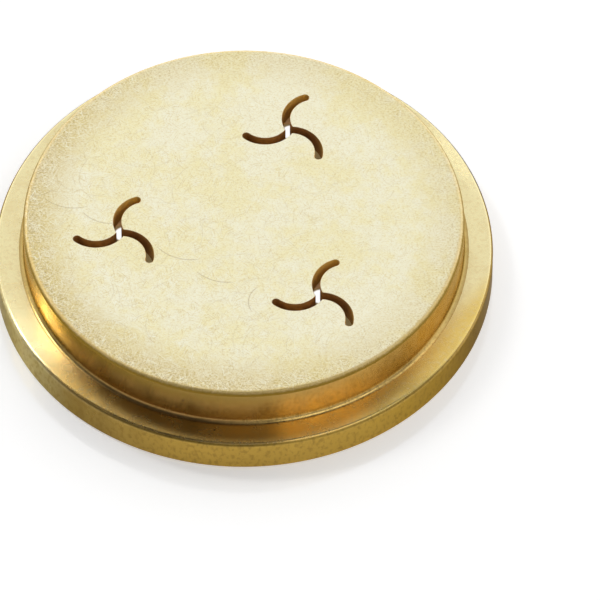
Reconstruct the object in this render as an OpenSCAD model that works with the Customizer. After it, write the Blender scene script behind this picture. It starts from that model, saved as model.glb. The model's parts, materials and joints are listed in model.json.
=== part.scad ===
// Pasta extrusion die: one disc turned from solid brass.
// A low flange carries a wide round boss, and the boss's front face is pierced by
// curved three-armed slots that shape twisted pasta. A wide bore drilled from the
// back feeds each slot and leaves a thin wall, the land, for the slot to be cut through.
// The back face lies on Z = 0, the front face looks along +Z, and lengths are in mm.

/* [Boss] */
// Diameter of the boss that stands through the ring nut
boss_d = 53; // [48:0.1:70]
// Height of the boss above the ledge
boss_h = 5.4; // [4:0.1:12]
// Bevel around the front face
face_bevel = 0.35; // [0.1:0.05:1]
// Radius of the fillet at the foot of the boss
foot_r = 0.6; // [0.2:0.1:1.2]

/* [Flange] */
// Width of the ledge around the boss, where the ring nut presses
ledge_w = 3.5; // [2.4:0.1:8]
// Thickness of the flange
flange_h = 4.5; // [2:0.1:10]
// Bevel on the front edge of the rim
rim_bevel = 0.35; // [0.1:0.05:0.8]
// Bevel on the back edge of the rim
back_bevel = 0.3; // [0.1:0.05:0.8]

/* [Slots] */
// Number of slots around the die
slot_count = 3; // [1:1:3]
// Diameter of the circle through the middles of the slots
slot_circle_d = 29.7; // [26:0.1:33]
// Direction of the first slot from the die's axis, in degrees
slot_start = 68.1; // [0:0.1:120]
// Width of the slots
slot_w = 0.94; // [0.6:0.02:1.6]
// Number of curved arms on each slot
arm_count = 3; // [2:1:4]
// Radius of each arm's curve, along the middle of the slot
arm_r = 3.45; // [2.5:0.05:4.4]
// Angle that each arm sweeps from the slot's middle to its tip, in degrees
arm_sweep = 101.5; // [60:0.5:140]
// Direction of the outermost tip, counted from straight outwards, in degrees
tip_lead = 1.9; // [-30:0.1:30]

/* [Feed bores] */
// Diameter of the bore that feeds each slot from the back
feed_d = 17; // [13:0.1:19]
// Thickness of the land that the slots are cut through
land_h = 2.8; // [1.5:0.1:4]
// Bevel around the mouth of each bore
feed_bevel = 0.5; // [0.1:0.05:1]

/* [Hidden] */
$fn = 96;

// Brass, as the sanded front face shows it
brass_color = [0.89, 0.82, 0.58];

boss_radius = boss_d / 2;
flange_radius = boss_radius + ledge_w;
die_h = flange_h + boss_h;
feed_depth = die_h - land_h;

// Each arm leaves the slot's middle at a right angle to the line to its own centre,
// so half of its sweep lies between that line's normal and the tip
tip_to_centre = 90 - arm_sweep / 2;

// How far a cutting shape reaches past the face that it cuts
overcut = 1;

// Half section of the turned blank, from the axis outwards
module blank_profile() {
    polygon([
        [0, 0],
        [flange_radius - back_bevel, 0],
        [flange_radius, back_bevel],
        [flange_radius, flange_h - rim_bevel],
        [flange_radius - rim_bevel, flange_h],
        [boss_radius, flange_h],
        [boss_radius, die_h - face_bevel],
        [boss_radius - face_bevel, die_h],
        [0, die_h]
    ]);
}

// Section of the fillet between the boss and the ledge
module foot_profile() {
    translate([boss_radius, flange_h])
        difference() {
            translate([-foot_r, -foot_r]) square(2 * foot_r);
            translate([foot_r, foot_r]) circle(foot_r);
        }
}

module blank() {
    rotate_extrude()
        union() {
            blank_profile();
            foot_profile();
        }
}

// One curved arm with a round tip, from the slot's middle, tip along +X
module slot_arm(h) {
    rotate(-tip_to_centre) translate([arm_r, 0]) {
        rotate(180 - arm_sweep)
            rotate_extrude(angle = arm_sweep)
                translate([arm_r - slot_w / 2, 0]) square([slot_w, h]);
        rotate(180 - arm_sweep)
            translate([arm_r, 0]) cylinder(h = h, d = slot_w);
    }
}

module slot_cut() {
    translate([0, 0, feed_depth - overcut])
        for (arm = [0 : arm_count - 1])
            rotate(tip_lead + arm * 360 / arm_count)
                slot_arm(land_h + 2 * overcut);
}

// Straight bore with a bevelled mouth, from behind the back face up to the land
module feed_bore() {
    translate([0, 0, -overcut])
        cylinder(h = feed_depth + overcut, d = feed_d);
    translate([0, 0, -overcut])
        cylinder(
            h = overcut + feed_bevel,
            d1 = feed_d + 2 * (feed_bevel + overcut),
            d2 = feed_d
        );
}

module at_each_slot() {
    for (i = [0 : slot_count - 1])
        rotate(slot_start + i * 360 / slot_count)
            translate([slot_circle_d / 2, 0, 0])
                children();
}

module die_body() {
    color(brass_color)
        difference() {
            blank();
            at_each_slot() feed_bore();
            at_each_slot() slot_cut();
        }
}

die_body();
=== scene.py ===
import json
import math

import bmesh
import bpy
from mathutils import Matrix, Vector


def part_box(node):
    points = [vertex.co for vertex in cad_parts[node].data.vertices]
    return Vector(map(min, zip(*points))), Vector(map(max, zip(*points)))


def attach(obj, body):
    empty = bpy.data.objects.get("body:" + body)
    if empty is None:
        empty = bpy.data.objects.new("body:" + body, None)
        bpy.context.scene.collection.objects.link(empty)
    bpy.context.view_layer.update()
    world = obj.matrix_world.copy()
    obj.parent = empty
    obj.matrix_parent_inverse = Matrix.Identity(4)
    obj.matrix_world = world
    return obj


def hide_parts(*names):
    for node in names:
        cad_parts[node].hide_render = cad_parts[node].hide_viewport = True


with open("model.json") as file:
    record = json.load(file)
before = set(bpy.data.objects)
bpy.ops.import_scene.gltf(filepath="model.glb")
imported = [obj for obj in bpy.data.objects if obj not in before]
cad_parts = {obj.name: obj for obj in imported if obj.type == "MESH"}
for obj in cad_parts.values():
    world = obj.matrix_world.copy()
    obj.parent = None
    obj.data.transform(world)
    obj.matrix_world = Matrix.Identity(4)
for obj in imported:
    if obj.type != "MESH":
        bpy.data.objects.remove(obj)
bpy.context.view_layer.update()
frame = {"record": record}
record = frame["record"]
scene = bpy.context.scene

# Sizes in millimetres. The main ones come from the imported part. The small ones, which the pack
# doesn't state, repeat those of the part's source.
MM = 0.001
mounts = {mount["name"]: mount for mount in record["mounts"]}
DIE_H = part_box("die_body")[1].z / MM
FLANGE_R = mounts["flange_rim"]["dims"]["r_mm"]
BOSS_R = mounts["boss"]["dims"]["r_mm"]
LEDGE_Z = mounts["ledge"]["pos_m"][2] / MM
FACE_BEVEL = 0.35
FOOT_R = 0.6
RIM_BEVEL = 0.35
BACK_BEVEL = 0.3

# Height up to which the foot of the boss has colours of its own, painted shade in the corner
FOOT_TOP = LEDGE_Z + 1.1 * FOOT_R

# Roundings of the worn front edges and of the sharper back edge
WORN_R = 0.45
BACK_R = 0.1

# Slots and the bores that feed them
SLOT_W = 0.94
SLOT_BREAK = 0.05
ARM_COUNT = 3
ARM_R = 3.45
ARM_SWEEP = math.radians(101.5)
TIP_LEAD = math.radians(1.9)
FEED_R = 8.5
FEED_BEVEL = 0.5
LAND_H = 2.8

# How finely the mesh is cut
SEGMENTS = 960
CORNER_STEPS = 6
FOOT_STEPS = 10
ARM_STEPS = 40
TIP_STEPS = 14
BORE_SEGMENTS = 192

# Places of the mesh's materials in its list
FACE, WALL, FOOT, LEDGE, RIM, BACK, INSIDE = range(7)

# Directions on the part
TO_FRONT = (0.0, -1.0, 0.0)
TO_FRONT_RIGHT = (0.25, -0.97, 0.0)
TO_HALF_RIGHT = (0.5, -0.87, 0.0)
TO_RIGHT = (0.8, -0.6, 0.0)
TO_LEFT = (-0.92, -0.39, 0.0)
UP = (0.0, 0.0, 1.0)

# Grows along the rim towards the back right and, much faster, up to the rim's edge
TO_BACK_RIGHT_EDGE = (0.5, 0.5, 4.0)

WHITE = (1.0, 1.0, 1.0)


def slot_centres():
    """Middles of the slots in plan, taken from the openings that the part states."""
    centres = []
    for opening in record["physics"]["openings"]:
        low, high = opening["box_m"]
        centres.append(Vector((low[0] + high[0], low[1] + high[1])) / 2 / MM)
    return centres


# Shape


def polar(radius, angle):
    """Point at a radius and an angle round the origin."""
    return Vector((radius * math.cos(angle), radius * math.sin(angle)))


def turned(point, angle):
    """Point turned anticlockwise round the origin."""
    cos, sin = math.cos(angle), math.sin(angle)
    return Vector((point.x * cos - point.y * sin, point.x * sin + point.y * cos))


def rounded(corners):
    """Turns corners (radius, height, rounding, material of what follows) into profile points,
    each with its material, and each rounding as a true arc."""
    points = []
    for i, (x, z, rounding, material) in enumerate(corners):
        here = Vector((x, z))
        if rounding == 0:
            points.append((here, material))
            continue
        to_last = (Vector(corners[i - 1][:2]) - here).normalized()
        to_next = (Vector(corners[i + 1][:2]) - here).normalized()
        half = to_last.angle(to_next) / 2
        middle = here + (to_last + to_next).normalized() * rounding / math.sin(half)
        start = here + to_last * rounding / math.tan(half) - middle
        end = here + to_next * rounding / math.tan(half) - middle
        turn = start.angle_signed(end)
        count = CORNER_STEPS if rounding < FOOT_R else FOOT_STEPS
        for step in range(count + 1):
            points.append((middle + turned(start, -turn * step / count), material))
    return points


def blank_profile():
    """Half section of the turned blank, from the back face round to the front face."""
    return rounded([
        (FLANGE_R - 2 * BACK_BEVEL, 0, 0, BACK),
        (FLANGE_R - BACK_BEVEL, 0, BACK_R, RIM),
        (FLANGE_R, BACK_BEVEL, BACK_R, RIM),
        (FLANGE_R, LEDGE_Z - RIM_BEVEL, WORN_R, RIM),
        (FLANGE_R - RIM_BEVEL, LEDGE_Z, WORN_R, LEDGE),
        (BOSS_R, LEDGE_Z, FOOT_R, FOOT),
        (BOSS_R, FOOT_TOP, 0, WALL),
        (BOSS_R, DIE_H - FACE_BEVEL, WORN_R, FACE),
        (BOSS_R - FACE_BEVEL, DIE_H, WORN_R, FACE),
        (BOSS_R - 2 * FACE_BEVEL, DIE_H, 0, FACE),
    ])


def slot_outline(width):
    """Outline of a three-armed slot round its middle, first tip along +X, anticlockwise."""
    half_w = width / 2
    to_centre = math.pi / 2 - ARM_SWEEP / 2
    pitch = 2 * math.pi / ARM_COUNT
    first, second = polar(ARM_R, -to_centre), polar(ARM_R, pitch - to_centre)

    # The notch between two arms lies where one arm's outer side meets the next arm's inner side
    outer_r, inner_r = ARM_R + half_w, ARM_R - half_w
    between = second - first
    gap = between.length
    along = (gap * gap + outer_r * outer_r - inner_r * inner_r) / (2 * gap)
    aside = math.sqrt(outer_r * outer_r - along * along)
    axis = between.normalized()
    normal = Vector((-axis.y, axis.x))
    notches = [first + axis * along + normal * aside * side for side in (-1, 1)]
    notch = min(notches, key=lambda point: point.length)

    tip = math.pi - to_centre - ARM_SWEEP
    outer_end = math.atan2(notch.y - first.y, notch.x - first.x) % (2 * math.pi)
    inner_end = (math.atan2(notch.y - second.y, notch.x - second.x) - pitch) % (2 * math.pi)
    tip_centre = first + polar(ARM_R, tip)

    arm = []
    for step in range(ARM_STEPS):
        arm.append(first + polar(inner_r, inner_end + (tip - inner_end) * step / ARM_STEPS))
    for step in range(TIP_STEPS):
        arm.append(tip_centre + polar(half_w, tip + math.pi + math.pi * step / TIP_STEPS))
    for step in range(ARM_STEPS):
        arm.append(first + polar(outer_r, tip + (outer_end - tip) * step / ARM_STEPS))
    return [turned(point, k * pitch) for k in range(ARM_COUNT) for point in arm]


def circle(radius, segments):
    """Points of a circle round the origin, anticlockwise."""
    return [polar(radius, 2 * math.pi * i / segments) for i in range(segments)]


def loop(mesh, outline, height):
    """Puts the points of an outline into the mesh at a height."""
    return [mesh.verts.new((p.x * MM, p.y * MM, height * MM)) for p in outline]


def wall(mesh, loops, material):
    """Joins each loop to the next one, of as many points, with a band of four-sided faces."""
    for first, second in zip(loops, loops[1:]):
        for i in range(len(first)):
            j = (i + 1) % len(first)
            face = mesh.faces.new((first[i], first[j], second[j], second[i]))
            face.material_index = material
            face.smooth = True


def plate(mesh, loops, material):
    """Fills the flat space between an outer loop and the loops inside it."""
    edges = []
    for points in loops:
        for i in range(len(points)):
            pair = (points[i], points[(i + 1) % len(points)])
            edges.append(mesh.edges.get(pair) or mesh.edges.new(pair))
    filled = bmesh.ops.triangle_fill(mesh, use_beauty=True, edges=edges)
    for item in filled["geom"]:
        if isinstance(item, bmesh.types.BMFace):
            item.material_index = material
            item.smooth = False


def die_mesh():
    """The whole die: the turned blank with its slots and feed bores, closed all round."""
    mesh = bmesh.new()
    profile = blank_profile()
    rings = [loop(mesh, circle(point.x, SEGMENTS), point.y) for point, _ in profile]
    for i, (_, material) in enumerate(profile[:-1]):
        wall(mesh, rings[i:i + 2], material)

    face_loops, back_loops = [rings[-1]], [rings[0]]
    feed_depth = DIE_H - LAND_H
    for centre in slot_centres():
        turn = math.atan2(centre.y, centre.x) + TIP_LEAD
        at_face = [centre + turned(p, turn) for p in slot_outline(SLOT_W + 2 * SLOT_BREAK)]
        inside = [centre + turned(p, turn) for p in slot_outline(SLOT_W)]
        bore = [centre + p for p in circle(FEED_R, BORE_SEGMENTS)]
        mouth = [centre + p for p in circle(FEED_R + FEED_BEVEL, BORE_SEGMENTS)]
        slot_loops = [
            loop(mesh, at_face, DIE_H),
            loop(mesh, inside, DIE_H - SLOT_BREAK),
            loop(mesh, inside, feed_depth),
        ]
        bore_loops = [
            loop(mesh, bore, feed_depth),
            loop(mesh, bore, FEED_BEVEL),
            loop(mesh, mouth, 0),
        ]
        wall(mesh, slot_loops, INSIDE)
        wall(mesh, bore_loops, INSIDE)
        plate(mesh, [bore_loops[0], slot_loops[-1]], INSIDE)
        face_loops.append(slot_loops[0])
        back_loops.append(bore_loops[-1])
    plate(mesh, face_loops, FACE)
    plate(mesh, back_loops, BACK)

    bmesh.ops.recalc_face_normals(mesh, faces=mesh.faces)
    data = bpy.data.meshes.new("pasta_die")
    mesh.to_mesh(data)
    mesh.free()
    return data


# Materials

# Keeps the place in plan and drops the height
IN_PLAN = (1.0, 1.0, 0.0)

# A texture's layers are moved apart by a shift, and crosswise by this share of it
CROSS_SHIFT = 0.7


class Nodes:
    """Short calls that build the nodes of a material or of the world."""

    def __init__(self, owner):
        owner.use_nodes = True
        self.owner = owner
        self.tree = owner.node_tree

    def add(self, kind, **settings):
        """New node of a kind, with its settings."""
        node = self.tree.nodes.new("ShaderNode" + kind)
        for name, value in settings.items():
            setattr(node, name, value)
        return node

    def put(self, socket, value):
        """Links a socket to another node's output, or sets a constant on it."""
        if isinstance(value, bpy.types.NodeSocket):
            self.tree.links.new(value, socket)
        elif isinstance(value, tuple) and socket.type == "RGBA":
            socket.default_value = (*value, 1.0)
        else:
            socket.default_value = value

    def math(self, operation, *values):
        """Result of an operation on numbers."""
        node = self.add("Math", operation=operation)
        for socket, value in zip(node.inputs, values):
            self.put(socket, value)
        return node.outputs[0]

    def highest(self, values):
        """Greatest of several numbers."""
        top = values[0]
        for value in values[1:]:
            top = self.math("MAXIMUM", top, value)
        return top

    def vector(self, operation, *values):
        """Result of an operation on vectors, a number for a length or a dot product."""
        node = self.add("VectorMath", operation=operation)
        for socket, value in zip(node.inputs, values):
            self.put(socket, value)
        return node.outputs["Value" if operation in ("LENGTH", "DOT_PRODUCT") else "Vector"]

    def millimetres(self):
        """Place on the part, in millimetres."""
        coordinates = self.add("TexCoord").outputs["Object"]
        return self.vector("MULTIPLY", coordinates, (1 / MM, 1 / MM, 1 / MM))

    def mapped(self, place, size=(1.0, 1.0, 1.0), turn=0.0, shift=0.0):
        """Place moved and turned about Z, then counted in steps of the given size."""
        node = self.add("Mapping", vector_type="TEXTURE")
        self.put(node.inputs["Vector"], place)
        self.put(node.inputs["Location"], (shift, shift * CROSS_SHIFT, 0.0))
        self.put(node.inputs["Rotation"], (0.0, 0.0, turn))
        self.put(node.inputs["Scale"], size)
        return node.outputs["Vector"]

    def noise(self, place, per_mm, detail=1.0, flat=True):
        """Soft random value from 0 to 1, with so many lumps to a millimetre."""
        node = self.add("TexNoise", noise_dimensions="2D" if flat else "3D")
        self.put(node.inputs["Vector"], place)
        self.put(node.inputs["Scale"], per_mm)
        self.put(node.inputs["Detail"], detail)
        return node.outputs["Fac"]

    def cells(self, place, size_mm, flat=True):
        """Distance in millimetres to the nearest of many scattered points, and a random
        value for each point."""
        node = self.add("TexVoronoi", voronoi_dimensions="2D" if flat else "3D")
        self.put(node.inputs["Vector"], place)
        self.put(node.inputs["Scale"], 1 / size_mm)
        chance = self.add("SeparateColor")
        self.put(chance.inputs[0], node.outputs["Color"])
        return self.math("MULTIPLY", node.outputs["Distance"], size_mm), chance.outputs[0]

    def span(self, value, low, high, to_low=0.0, to_high=1.0):
        """Smooth step of a value from one range to another."""
        node = self.add("MapRange", interpolation_type="SMOOTHSTEP")
        names = ("Value", "From Min", "From Max", "To Min", "To Max")
        for name, part in zip(names, (value, low, high, to_low, to_high)):
            self.put(node.inputs[name], part)
        return node.outputs["Result"]

    def mix(self, factor, first, second):
        """First colour at factor 0, second colour at factor 1."""
        node = self.add("Mix", data_type="RGBA")
        self.put(node.inputs["Factor"], factor)
        colours = [socket for socket in node.inputs if socket.type == "RGBA"]
        self.put(colours[0], first)
        self.put(colours[1], second)
        return [socket for socket in node.outputs if socket.type == "RGBA"][0]

    def bump(self, height, depth_mm):
        """Normal of a surface with a fine relief."""
        node = self.add("Bump")
        self.put(node.inputs["Distance"], depth_mm * MM)
        self.put(node.inputs["Height"], height)
        return node.outputs["Normal"]

    def surface(self, **sockets):
        """Fills the sockets of the main shader and returns the material."""
        principled = self.tree.nodes["Principled BSDF"]
        for name, value in sockets.items():
            self.put(principled.inputs[name.replace("_", " ")], value)
        return self.owner


# Values of the front face. Lengths are in millimetres. A range has the two values between which
# something grows and, where these aren't 0 and 1, its strengths at the two.

FACE_CREAM = (0.97, 0.93, 0.705)
FACE_YELLOW = (0.955, 0.885, 0.555)
FACE_TAN = (0.69, 0.53, 0.175)
FACE_BRIGHT = (1.0, 0.99, 0.86)
FACE_DARK = (0.52, 0.40, 0.18)
FACE_ROUGHNESS = 0.5

# Soft clouds and smaller mottles: lumps to a millimetre, the mottles' share, and the range in which
# the two together turn the face from cream to yellow
CLOUD_PER_MM = 0.10
MOTTLE_PER_MM = 0.6
MOTTLE_SHIFT = 20.0
MOTTLE_SHARE = 0.35
CLOUD_DETAIL = 2.0
TONE = (0.40, 0.62)

# The face is worn most towards its left and front left, where its scratches also carry a painted
# glint
WORN_TOWARDS = (-0.87, -0.5, 0.0)
WORN_SIDE = (-0.5, 0.9, 0.45, 1.0)

# Widths of the worn band along the edge, of the tan band there and of the part where both are full,
# and how strong the tan is
WORN_W = 4.0
TAN_W = 7.0
FULL_W = 0.5
TAN_STRENGTH = 0.68

# Grit left by the sanding: size of a grain, which grains are bright or dark, how strong they are,
# and how much stronger in the worn band
GRIT_SIZE = (0.28, 0.20, 1.0)
GRIT_SHIFT = 33.0
GRIT_DETAIL = 2.0
GRIT_BRIGHT = (0.52, 0.75)
GRIT_DARK = (0.48, 0.25)
GRIT_STRENGTH = 0.30
GRIT_BRIGHT_WORN = 0.25
GRIT_DARK_WORN = 0.65

# Short strokes: number of directions, share of a step by which these are turned, size of a stroke,
# which strokes are bright or dark, their strength from the right to the worn side, which is partly
# a painted glint, and how much stronger they are in the worn band
STROKE_WAYS = 5
STROKE_TURN = 0.3
STROKE_SIZE = (0.10, 2.3, 1.0)
STROKE_SHIFT = 13.7
STROKE_BRIGHT = (0.62, 0.78)
STROKE_DARK = (0.36, 0.20)
STROKE_STRENGTH = (-22.0, 24.0, 0.36, 0.64)
STROKE_WORN = 0.15

# Patches in which the strokes are weaker
PATCH_PER_MM = 0.4
PATCH_SHIFT = 60.0
PATCH_STRENGTH = (0.35, 0.65, 0.55, 1.0)

# Swirls: layers of circles with radii between two values, broken into short stretches
SWIRL_LAYERS = 6
SWIRL_CELL = 10.0
SWIRL_SHIFT = 41.3
SWIRL_R = (2.4, 5.4)
SWIRL_W = 0.09
SWIRL_BREAKS_PER_MM = 0.35
SWIRL_BREAKS = (0.48, 0.60)
SWIRL_STRENGTH = 0.25

# Single dark arcs: middle, radius, and in degrees the direction and half of the sweep. From a share
# of the half sweep on they fade.
HAIRLINE_W = 0.10
HAIRLINE_FADE = 0.6
HAIRLINE_STRENGTH = 0.42
HAIRLINES = [
    (-25.2, 6.6, 3.0, -73, 32),
    (-20.4, 6.7, 5.0, -105, 38),
    (-16.0, 3.4, 4.05, -115, 34),
    (-6.3, -1.0, 5.2, -110, 35),
    (-1.85, -4.55, 5.1, -110, 30),
    (3.4, -12.6, 2.8, 170, 48),
]

# Share of a thin line's width that has full strength
LINE_CORE = 0.3

# The edge: a golden line of painted reflection, strongest at the front, in bevels from the boss's
# radius, then the outer bevel, darker with painted shade, which is rougher. The strokes fray both.
EDGE_GOLD_REFLECTION = (0.80, 0.58, 0.20)
EDGE_COLOUR = (0.44, 0.28, 0.045)
EDGE_ROUGHER = 0.2
GOLD_START = 2.2
GOLD_FULL = 0.8
GOLD_STRENGTH = (-0.3, 0.6, 0.35, 0.8)
FRAY = 0.05

# Relief of the face: fine grains everywhere, and the strokes in the worn band
GRAIN_PER_MM = 4.0
RELIEF_DEPTH = 0.008


def line(s, distance, width):
    """1 on a thin line where the distance is near 0, and 0 beside it."""
    return s.span(s.math("ABSOLUTE", distance), width * LINE_CORE, width, 1.0, 0.0)


def strokes(s, flat):
    """Bright and dark short scratches in many directions, as two masks."""
    bright, dark = [], []
    for way in range(STROKE_WAYS):
        turn = math.pi * (way + STROKE_TURN) / STROKE_WAYS
        value = s.noise(s.mapped(flat, STROKE_SIZE, turn, shift=way * STROKE_SHIFT), 1.0)
        bright.append(s.span(value, *STROKE_BRIGHT))
        dark.append(s.span(value, *STROKE_DARK))
    return s.highest(bright), s.highest(dark)


def swirls(s, flat):
    """Faint curved scratches like those of a random-orbit sander, broken into short stretches."""
    marks = []
    for layer in range(SWIRL_LAYERS):
        moved = s.mapped(flat, shift=layer * SWIRL_SHIFT)
        distance, _ = s.cells(moved, SWIRL_CELL)
        reach = SWIRL_R[0] + (SWIRL_R[1] - SWIRL_R[0]) * layer / (SWIRL_LAYERS - 1)
        mark = line(s, s.math("SUBTRACT", distance, reach), SWIRL_W)
        broken = s.span(s.noise(moved, SWIRL_BREAKS_PER_MM), *SWIRL_BREAKS)
        marks.append(s.math("MULTIPLY", mark, broken))
    return s.highest(marks)


def hairlines(s, flat):
    """The few darker scratches, each an arc of a circle."""
    marks = []
    for x, y, radius, middle, half in HAIRLINES:
        offset = s.vector("SUBTRACT", flat, (x, y, 0.0))
        mark = line(s, s.math("SUBTRACT", s.vector("LENGTH", offset), radius), HAIRLINE_W)
        towards = (math.cos(math.radians(middle)), math.sin(math.radians(middle)), 0.0)
        swing = s.vector("DOT_PRODUCT", s.vector("NORMALIZE", offset), towards)
        end = math.cos(math.radians(half))
        fade = math.cos(math.radians(half * HAIRLINE_FADE))
        marks.append(s.math("MULTIPLY", mark, s.span(swing, end, fade)))
    return s.highest(marks)


def sanded_brass():
    """The front face: pale, cloudy and finely scratched, and worn down towards its edge."""
    s = Nodes(bpy.data.materials.new("sanded_brass"))
    flat = s.vector("MULTIPLY", s.millimetres(), IN_PLAN)
    radius = s.vector("LENGTH", flat)
    outward = s.vector("NORMALIZE", flat)

    # Soft patches that differ in how yellow they are more than in how bright
    cloud = s.noise(flat, CLOUD_PER_MM, CLOUD_DETAIL)
    mottle = s.noise(s.mapped(flat, shift=MOTTLE_SHIFT), MOTTLE_PER_MM, CLOUD_DETAIL)
    clouds = s.math("MULTIPLY", cloud, 1 - MOTTLE_SHARE)
    tone = s.math("MULTIPLY_ADD", mottle, MOTTLE_SHARE, clouds)
    colour = s.mix(s.span(tone, *TONE), FACE_CREAM, FACE_YELLOW)

    # Wear grows towards the edge, most of all on the worn side
    side = s.span(s.vector("DOT_PRODUCT", outward, WORN_TOWARDS), *WORN_SIDE)
    tan = s.math("MULTIPLY", s.span(radius, BOSS_R - TAN_W, BOSS_R - FULL_W), side)
    worn = s.math("MULTIPLY", s.span(radius, BOSS_R - WORN_W, BOSS_R - FULL_W), side)
    colour = s.mix(s.math("MULTIPLY", tan, TAN_STRENGTH), colour, FACE_TAN)
    deep = s.mix(worn, FACE_TAN, FACE_DARK)

    # Grit, stronger in the worn band
    grit = s.noise(s.mapped(flat, GRIT_SIZE, shift=GRIT_SHIFT), 1.0, GRIT_DETAIL)
    strength = s.math("MULTIPLY_ADD", worn, GRIT_BRIGHT_WORN, GRIT_STRENGTH)
    colour = s.mix(s.math("MULTIPLY", s.span(grit, *GRIT_BRIGHT), strength), colour, FACE_BRIGHT)
    strength = s.math("MULTIPLY_ADD", worn, GRIT_DARK_WORN, GRIT_STRENGTH)
    colour = s.mix(s.math("MULTIPLY", s.span(grit, *GRIT_DARK), strength), colour, deep)

    # Scratches, stronger towards the worn side: partly wear, partly a painted glint
    across = s.span(s.vector("DOT_PRODUCT", flat, WORN_TOWARDS), *STROKE_STRENGTH)
    patch = s.noise(s.mapped(flat, shift=PATCH_SHIFT), PATCH_PER_MM)
    strength = s.math("MULTIPLY_ADD", worn, STROKE_WORN, across)
    strength = s.math("MULTIPLY", strength, s.span(patch, *PATCH_STRENGTH))
    bright, dark = strokes(s, flat)
    colour = s.mix(s.math("MULTIPLY", dark, strength), colour, deep)
    colour = s.mix(s.math("MULTIPLY", bright, strength), colour, FACE_BRIGHT)
    faint = s.math("MULTIPLY", across, SWIRL_STRENGTH)
    colour = s.mix(s.math("MULTIPLY", swirls(s, flat), faint), colour, FACE_DARK)
    arcs = s.math("MULTIPLY", hairlines(s, flat), HAIRLINE_STRENGTH)
    colour = s.mix(arcs, colour, FACE_DARK)

    # The sanding rounds the edge off unevenly and frays out into the turned wall
    scratch = s.math("SUBTRACT", bright, dark)
    frayed = s.math("MULTIPLY_ADD", scratch, -FRAY, radius)
    # Painted reflection: a golden line on the edge, strongest at the front
    golden = s.span(frayed, BOSS_R - GOLD_START * FACE_BEVEL, BOSS_R - GOLD_FULL * FACE_BEVEL)
    near = s.span(s.vector("DOT_PRODUCT", outward, TO_FRONT), *GOLD_STRENGTH)
    colour = s.mix(s.math("MULTIPLY", golden, near), colour, EDGE_GOLD_REFLECTION)
    # Painted shade: the outer bevel darker
    edge = s.span(frayed, BOSS_R - FACE_BEVEL + FRAY, BOSS_R - FRAY)
    colour = s.mix(edge, colour, EDGE_COLOUR)
    relief = s.math("MULTIPLY_ADD", scratch, worn, s.noise(flat, GRAIN_PER_MM))
    return s.surface(
        Base_Color=colour,
        Metallic=1.0,
        Roughness=s.math("MULTIPLY_ADD", edge, EDGE_ROUGHER, FACE_ROUGHNESS),
        Normal=s.bump(relief, RELIEF_DEPTH),
    )


# Values of the turned faces: patina in large patches and stain in speckles, with their lumps to a
# millimetre, how far these are drawn out, and the ranges in which they grow

PATINA_PER_MM = 0.45
PATINA_SIZE = (1.0, 1.0, 2.0)
PATINA_DETAIL = 3.0
PATINA_STRENGTH = (0.40, 0.66, 0.0, 0.6)
SPECKLE_PER_MM = 2.2
SPECKLE_SIZE = (1.0, 1.0, 1.6)
SPECKLE_SHIFT = 9.0
SPECKLE_DETAIL = 2.0
SPECKLE_STRENGTH = (0.45, 0.72, 0.0, 0.5)

# Dark pits, in millimetres: distance between possible ones, radius, share of it that is full, and
# the random value from which there is one
PIT_CELL = 3.2
PIT_R = 0.17
PIT_CORE = 0.5
PIT_CHANCE = (0.70, 0.72)
PIT_STRENGTH = 0.75
PIT_COLOUR = (0.10, 0.05, 0.02)

# Patina between these values makes a face less or more rough by these amounts
ROUGH_PATINA = (0.3, 0.7)
LESS_ROUGH = 0.03
MORE_ROUGH = 0.04
COAT_ROUGHNESS = 0.15

# Turns the stretched highlights across the rings of the lathe
QUARTER_TURN = 0.25


def turned_brass(name, bright, tarnish, stain, painted_zones, roughness, anisotropy,
                 edge_tint=WHITE, coat=0.0):
    """Brass with the fine rings of a lathe, which stretch its highlights across them. Each painted
    zone is a colour that takes over along a direction, from one distance to another: light and
    shade painted into the brass, lighter or darker there."""
    s = Nodes(bpy.data.materials.new(name))
    place = s.millimetres()
    patina = s.noise(s.mapped(place, PATINA_SIZE), PATINA_PER_MM, PATINA_DETAIL, flat=False)
    drawn_out = s.mapped(place, SPECKLE_SIZE, shift=SPECKLE_SHIFT)
    speckle = s.noise(drawn_out, SPECKLE_PER_MM, SPECKLE_DETAIL, flat=False)
    colour, tarnish_and_painted = bright, tarnish
    # Painted light and shade: each zone lightens or darkens the brass along its direction
    for shade, towards, low, high in painted_zones:
        along = s.span(s.vector("DOT_PRODUCT", place, towards), low, high)
        colour = s.mix(along, colour, shade)
        tarnish_and_painted = s.mix(along, tarnish_and_painted, shade)
    colour = s.mix(s.span(patina, *PATINA_STRENGTH), colour, tarnish_and_painted)
    colour = s.mix(s.span(speckle, *SPECKLE_STRENGTH), colour, stain)

    distance, chance = s.cells(place, PIT_CELL, flat=False)
    spot = s.span(distance, PIT_R * PIT_CORE, PIT_R, 1.0, 0.0)
    pit = s.math("MULTIPLY", spot, s.span(chance, *PIT_CHANCE))
    colour = s.mix(s.math("MULTIPLY", pit, PIT_STRENGTH), colour, PIT_COLOUR)
    tangent = s.add("Tangent", direction_type="RADIAL", axis="Z").outputs["Tangent"]
    return s.surface(
        Base_Color=colour,
        Metallic=1.0,
        Roughness=s.span(patina, *ROUGH_PATINA, roughness - LESS_ROUGH, roughness + MORE_ROUGH),
        Specular_Tint=edge_tint,
        Coat_Weight=coat,
        Coat_Roughness=COAT_ROUGHNESS,
        Anisotropic=anisotropy,
        Anisotropic_Rotation=QUARTER_TURN,
        Tangent=tangent,
    )


# Values of the slots and bores: two browns that a stain mixes, and the colour of the painted light on
# the paler parts

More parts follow.
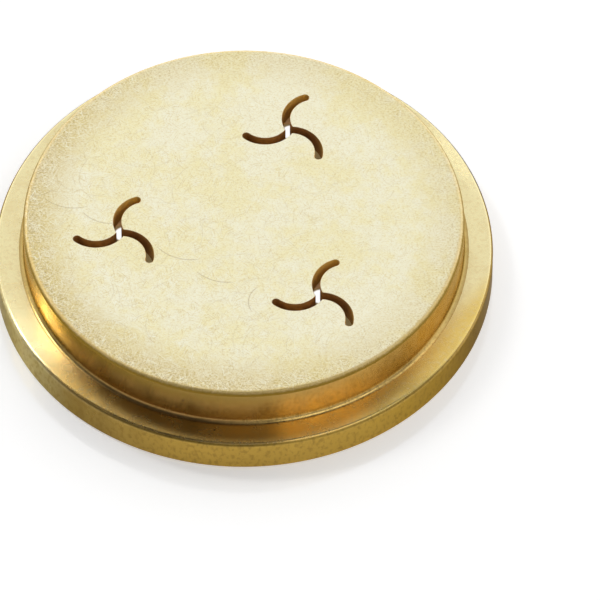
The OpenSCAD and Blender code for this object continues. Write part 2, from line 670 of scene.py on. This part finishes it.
BORE_BROWN = (0.50, 0.26, 0.08)
BORE_DARK = (0.38, 0.19, 0.06)
BORE_PAINTED_LIGHT = (0.78, 0.52, 0.15)
BORE_STAIN_PER_MM = 1.2
BORE_STAIN_DETAIL = 2.0
BORE_STAIN = (0.3, 0.7)
BORE_METALLIC = 0.6
BORE_ROUGHNESS = 0.5

# In millimetres from a slot's middle: where the painted light ends, just past the slot's tips, so
# that the bore's wall stays brown, and how far ahead the far arm and the near tip are lit paler by it
SLOT_REACH = (6.2, 6.6)
FAR_ARM = (0.0, -4.0)
NEAR_TIP = (0.8, 3.4)


def bored_brass():
    """The slots and bores: brown, with painted light that makes each slot's far arm and near tip
    paler."""
    s = Nodes(bpy.data.materials.new("bored_brass"))
    place = s.millimetres()
    stain = s.noise(place, BORE_STAIN_PER_MM, BORE_STAIN_DETAIL, flat=False)
    colour = s.mix(s.span(stain, *BORE_STAIN), BORE_BROWN, BORE_DARK)
    flat = s.vector("MULTIPLY", place, IN_PLAN)
    # Painted light on each slot's far arm and near tip
    pale = []
    for centre in slot_centres():
        offset = s.vector("SUBTRACT", flat, (centre.x, centre.y, 0.0))
        within = s.span(s.vector("LENGTH", offset), *SLOT_REACH, 1.0, 0.0)
        ahead = s.vector("DOT_PRODUCT", offset, TO_FRONT)
        ends = s.highest([s.span(ahead, *FAR_ARM), s.span(ahead, *NEAR_TIP)])
        pale.append(s.math("MULTIPLY", within, ends))
    return s.surface(
        Base_Color=s.mix(s.highest(pale), colour, BORE_PAINTED_LIGHT),
        Metallic=BORE_METALLIC,
        Roughness=BORE_ROUGHNESS,
    )


# The die

die = bpy.data.objects.new("pasta_die", die_mesh())
scene.collection.objects.link(die)

# The colours and the painted light and shade were chosen so that the brass looks under this sky as it
# does in the photo
MATERIALS = {
    FACE: sanded_brass(),
    WALL: turned_brass(
        "turned_wall",
        bright=(0.75, 0.47, 0.14), tarnish=(0.66, 0.38, 0.10), stain=(0.48, 0.27, 0.06),
        painted_zones=[
            # Painted shade: darker towards the top of the wall
            ((0.41, 0.26, 0.045), UP, 6.8, 9.3),
            # Painted light: lighter again towards the right
            ((0.74, 0.465, 0.14), TO_RIGHT, 12.0, 32.0),
        ],
        roughness=0.23, anisotropy=0.9, edge_tint=(0.6, 0.5, 0.3), coat=0.3,
    ),
    FOOT: turned_brass(
        "turned_foot_painted_shade",
        # Painted shade: darker than the wall in the corner at the foot
        bright=(0.48, 0.35, 0.13), tarnish=(0.44, 0.31, 0.10), stain=(0.38, 0.25, 0.07),
        painted_zones=[
            # Painted light: lighter towards the front
            ((0.62, 0.37, 0.13), TO_FRONT, 12.0, 26.0),
            # Painted light: lighter still towards the front right
            ((0.88, 0.60, 0.20), TO_HALF_RIGHT, 21.0, 26.0),
        ],
        roughness=0.24, anisotropy=0.8, edge_tint=(0.6, 0.5, 0.3),
    ),
    LEDGE: turned_brass(
        "turned_ledge",
        bright=(0.82, 0.73, 0.415), tarnish=(0.81, 0.70, 0.385), stain=(0.75, 0.61, 0.31),
        painted_zones=[
            # Painted reflection: warmer and browner towards the front
            ((0.98, 0.65, 0.20), TO_FRONT, 15.0, 21.5),
            # Painted shade: darker towards the right
            ((0.76, 0.56, 0.17), TO_RIGHT, 25.0, 28.2),
        ],
        roughness=0.25, anisotropy=0.95,
    ),
    RIM: turned_brass(
        "turned_rim",
        bright=(0.37, 0.25, 0.08), tarnish=(0.32, 0.21, 0.065), stain=(0.28, 0.165, 0.04),
        painted_zones=[
            # Painted reflection: lighter towards the front right
            ((0.55, 0.35, 0.07), TO_FRONT_RIGHT, 17.0, 29.0),
            # Painted highlight: paler towards the left
            ((0.57, 0.48, 0.24), TO_LEFT, 27.0, 29.8),
            # Painted dark reflection: a dark line on the edge at the back right
            ((0.05, 0.035, 0.015), TO_BACK_RIGHT_EDGE, 34.0, 37.0),
        ],
        roughness=0.30, anisotropy=0.8, edge_tint=(0.3, 0.26, 0.17), coat=0.08,
    ),
    BACK: turned_brass(
        "turned_back",
        bright=(0.82, 0.70, 0.36), tarnish=(0.74, 0.58, 0.26), stain=(0.60, 0.44, 0.18),
        painted_zones=[],
        roughness=0.33, anisotropy=0.6,
    ),
    INSIDE: bored_brass(),
}
for index in sorted(MATERIALS):
    die.data.materials.append(MATERIALS[index])
smooth = die.modifiers.new("smooth_corners", "WEIGHTED_NORMAL")
smooth.mode = "FACE_AREA"
smooth.keep_sharp = True
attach(die, "root")
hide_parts("die_body")


# Floor, light and camera

FLOOR_SIZE = 4.0
FLOOR_ALBEDO = (0.9, 0.9, 0.9)
FLOOR_ROUGHNESS = 0.1
FLOOR_SPECULAR = 1.0

# Light that the floor adds outside the die and under it, where it is dim and brown, and the width in
# millimetres over which one goes over into the other
FLOOR_LIFT = (0.42, 0.42, 0.42)
UNDER_LIGHT = (0.15, 0.11, 0.05)
UNDER_FADE = 1.0

# Painted pool of light on the shaded floor under the die, white where it shows through each slot, in
# millimetres: its place from the slot's middle, its radius, and the share of it that is full
PAINTED_SPOT_OFFSET = Vector((0.04, 7.62))
PAINTED_SPOT_R = 1.15
PAINTED_SPOT_CORE = 0.8

# Sky strength at the horizon and high up, and the elevations between which it fades
SKY_HORIZON = 0.4
SKY_HIGH = 0.05
SKY_FADE = (10, 42)

# Panels of light round the object, in degrees: bearing clockwise from the back, how far to each
# side it is full and has faded, lowest and highest elevation, softness of these two, and strength
SKY_PANELS = [
    (8, 67, 97, -10, 64, 5, 0.98),
    (303, 3, 7, 46, 56, 4, 22.0),
    (132, 20, 34, 38, 66, 8, 1.2),
    (172, 10, 35, 35, 68, 8, 0.2),
    (85, 15, 30, 35, 65, 10, 0.1),
]

# The camera of the photo: a very long lens that looks down on the face from the front
CAMERA_LENS = 579.5
CAMERA_DISTANCE = 1163
CAMERA_ELEVATION = math.radians(52.02)
CAMERA_AIM = (6.75, -5.28, 0.88)
CAMERA_CLIP_END = 10.0


def white_floor():
    """White floor that takes the die's shadow and looks white to the camera and in the brass."""
    s = Nodes(bpy.data.materials.new("white_floor"))
    path = s.add("LightPath").outputs
    seen = s.highest([path["Is Camera Ray"], path["Is Glossy Ray"], path["Is Transmission Ray"]])
    place = s.millimetres()
    # Painted pools of light under the die, white through the slots
    bright = []
    for centre in slot_centres():
        painted_spot = centre + PAINTED_SPOT_OFFSET
        distance = s.vector("LENGTH", s.vector("SUBTRACT", place, (painted_spot.x, painted_spot.y, 0.0)))
        bright.append(s.span(distance, PAINTED_SPOT_R * PAINTED_SPOT_CORE, PAINTED_SPOT_R, 1.0, 0.0))
    outside = s.span(s.vector("LENGTH", place), FLANGE_R - UNDER_FADE, FLANGE_R)
    lift = s.mix(outside, UNDER_LIGHT, FLOOR_LIFT)
    return s.surface(
        Base_Color=FLOOR_ALBEDO,
        Roughness=FLOOR_ROUGHNESS,
        Specular_IOR_Level=FLOOR_SPECULAR,
        Emission_Color=s.mix(s.highest(bright), lift, WHITE),
        Emission_Strength=seen,
    )


def make_floor():
    """A wide flat floor at the height of the die's back face."""
    mesh = bmesh.new()
    bmesh.ops.create_grid(mesh, x_segments=1, y_segments=1, size=FLOOR_SIZE / 2)
    data = bpy.data.meshes.new("floor")
    mesh.to_mesh(data)
    mesh.free()
    data.materials.append(white_floor())
    floor = bpy.data.objects.new("floor", data)
    scene.collection.objects.link(floor)


def sines(*degrees):
    """Sines of angles in degrees."""
    return [math.sin(math.radians(angle)) for angle in degrees]


def make_sky():
    """A sky that is dim high up, with panels of light as in a studio."""
    scene.world = bpy.data.worlds.new("studio")
    s = Nodes(scene.world)
    direction = s.add("TexCoord").outputs["Generated"]
    level = s.vector("NORMALIZE", s.vector("MULTIPLY", direction, IN_PLAN))
    rise = s.vector("DOT_PRODUCT", direction, UP)
    total = s.span(rise, *sines(*SKY_FADE), SKY_HORIZON, SKY_HIGH)
    for bearing, full, faded, low, high, soft, strength in SKY_PANELS:
        middle = polar(1.0, math.radians(90 - bearing))
        nearness = s.vector("DOT_PRODUCT", level, (middle.x, middle.y, 0.0))
        panel = s.span(nearness, *sines(90 - faded, 90 - full), 0.0, strength)
        from_low = s.span(rise, *sines(low - soft, low + soft))
        up_to_high = s.span(rise, *sines(high - soft, high + soft), 1.0, 0.0)
        panel = s.math("MULTIPLY", s.math("MULTIPLY", panel, from_low), up_to_high)
        total = s.math("ADD", total, panel)
    background = s.tree.nodes["Background"]
    s.put(background.inputs["Color"], WHITE)
    s.put(background.inputs["Strength"], total)


def make_camera():
    """A camera that looks at its aim from the front and above."""
    data = bpy.data.cameras.new("camera")
    data.lens = CAMERA_LENS
    data.clip_end = CAMERA_CLIP_END
    camera = bpy.data.objects.new("camera", data)
    back = Vector((0.0, -math.cos(CAMERA_ELEVATION), math.sin(CAMERA_ELEVATION)))
    camera.location = (Vector(CAMERA_AIM) + back * CAMERA_DISTANCE) * MM
    camera.rotation_euler = back.to_track_quat("Z", "Y").to_euler()
    scene.collection.objects.link(camera)
    scene.camera = camera


make_floor()
make_sky()
make_camera()
scene.view_settings.view_transform = "Standard"
